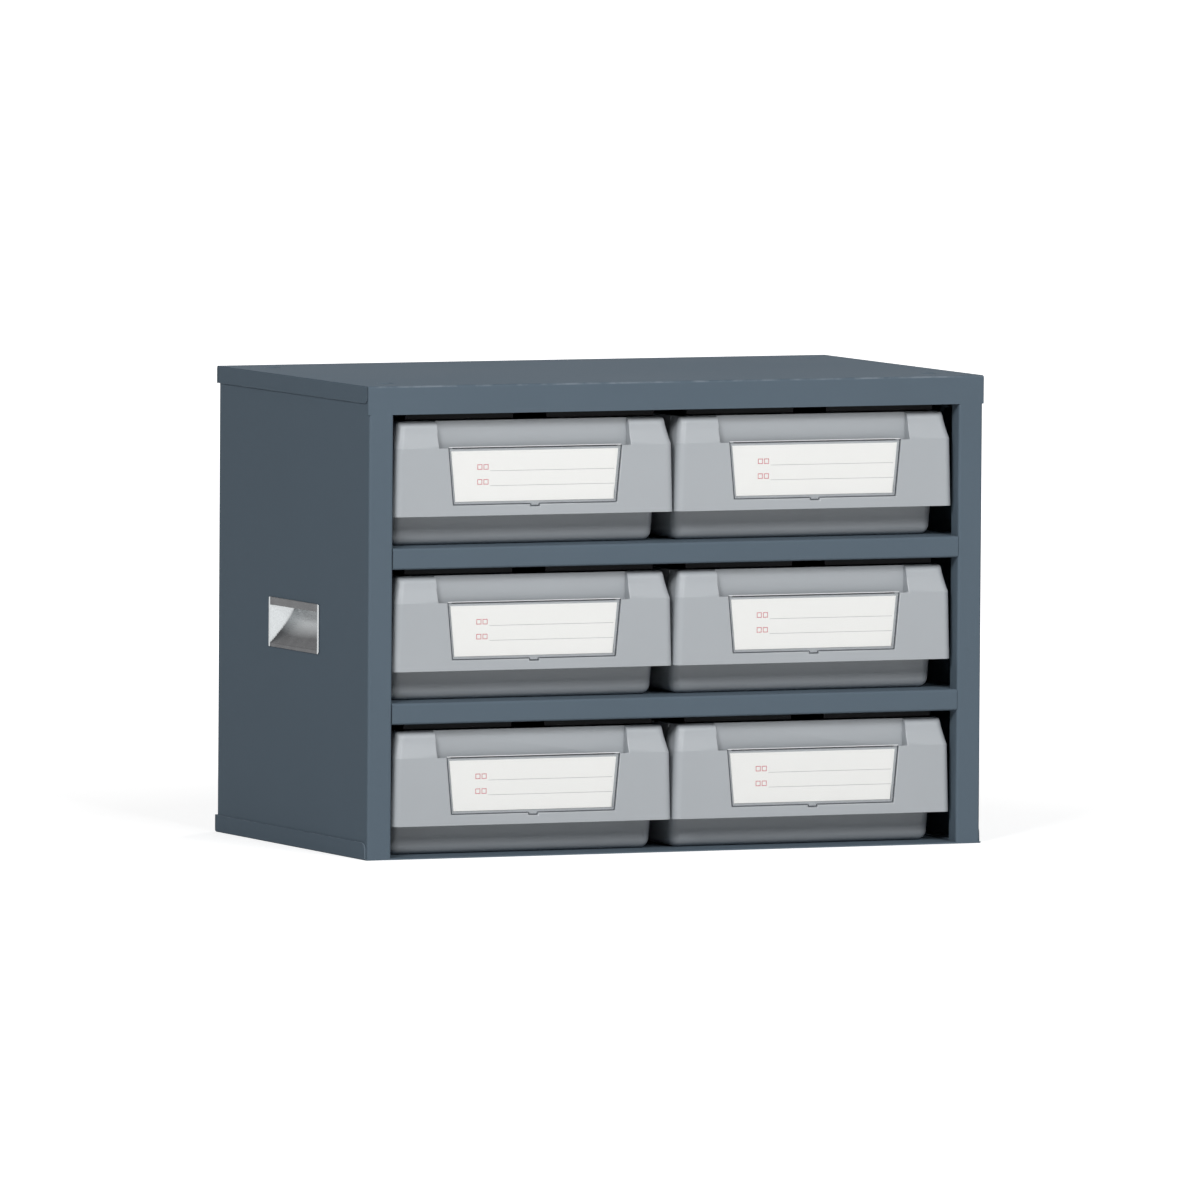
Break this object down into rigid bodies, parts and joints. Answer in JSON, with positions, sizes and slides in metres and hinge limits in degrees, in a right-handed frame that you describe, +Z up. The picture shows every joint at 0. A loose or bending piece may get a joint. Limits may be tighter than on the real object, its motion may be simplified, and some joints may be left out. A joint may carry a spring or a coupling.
{
  "type": "drawer cabinet",
  "caption": "Small folded-steel cabinet with rows of moulded plastic drawers, sloping label plates, finger pockets and a carrying grip in each side.",
  "frame": {"origin": "middle of the underside of the cabinet, on the surface that it stands on", "axes": "+X to the right seen from the front, +Y to the back, +Z up; the drawers face -Y"},
  "size_m": [0.54, 0.31, 0.378],
  "materials": {
    "cabinet_paint": "satin blue-grey powder coat",
    "rivet_steel": "rivets painted over with the cabinet",
    "grip_steel": "polished stamped steel",
    "drawer_plastic": "fine moulded grey",
    "clear_cover": "clear moulded plastic",
    "card_paper": "off-white card"
  },
  "bodies": {
    "cabinet": {"top_cover": "cabinet_paint", "left_side_panel": "cabinet_paint", "right_side_panel": "cabinet_paint", "bottom_tray": "cabinet_paint", "upper_shelf": "cabinet_paint", "lower_shelf": "cabinet_paint", "back_panel": "cabinet_paint", "back_rivets": "rivet_steel", "top_stop_strip": "cabinet_paint", "upper_stop_strip": "cabinet_paint", "lower_stop_strip": "cabinet_paint", "left_handle_cup": "grip_steel", "right_handle_cup": "grip_steel"},
    "bottom_left_drawer": {"bottom_left_drawer": "drawer_plastic", "bottom_left_label_cover": "clear_cover", "bottom_left_label_card": "card_paper"},
    "bottom_right_drawer": {"bottom_right_drawer": "drawer_plastic", "bottom_right_label_cover": "clear_cover", "bottom_right_label_card": "card_paper"},
    "middle_left_drawer": {"middle_left_drawer": "drawer_plastic", "middle_left_label_cover": "clear_cover", "middle_left_label_card": "card_paper"},
    "middle_right_drawer": {"middle_right_drawer": "drawer_plastic", "middle_right_label_cover": "clear_cover", "middle_right_label_card": "card_paper"},
    "top_left_drawer": {"top_left_drawer": "drawer_plastic", "top_left_label_cover": "clear_cover", "top_left_label_card": "card_paper"},
    "top_right_drawer": {"top_right_drawer": "drawer_plastic", "top_right_label_cover": "clear_cover", "top_right_label_card": "card_paper"}
  },
  "joints": [
    {"name": "bottom_left_slide", "type": "slide", "parent": "cabinet", "child": "bottom_left_drawer", "axis": [0, -1, 0], "range_m": [0, 0.2864]},
    {"name": "bottom_right_slide", "type": "slide", "parent": "cabinet", "child": "bottom_right_drawer", "axis": [0, -1, 0], "range_m": [0, 0.2864]},
    {"name": "middle_left_slide", "type": "slide", "parent": "cabinet", "child": "middle_left_drawer", "axis": [0, -1, 0], "range_m": [0, 0.2864]},
    {"name": "middle_right_slide", "type": "slide", "parent": "cabinet", "child": "middle_right_drawer", "axis": [0, -1, 0], "range_m": [0, 0.2864]},
    {"name": "top_left_slide", "type": "slide", "parent": "cabinet", "child": "top_left_drawer", "axis": [0, -1, 0], "range_m": [0, 0.2864]},
    {"name": "top_right_slide", "type": "slide", "parent": "cabinet", "child": "top_right_drawer", "axis": [0, -1, 0], "range_m": [0, 0.2864]}
  ]
}
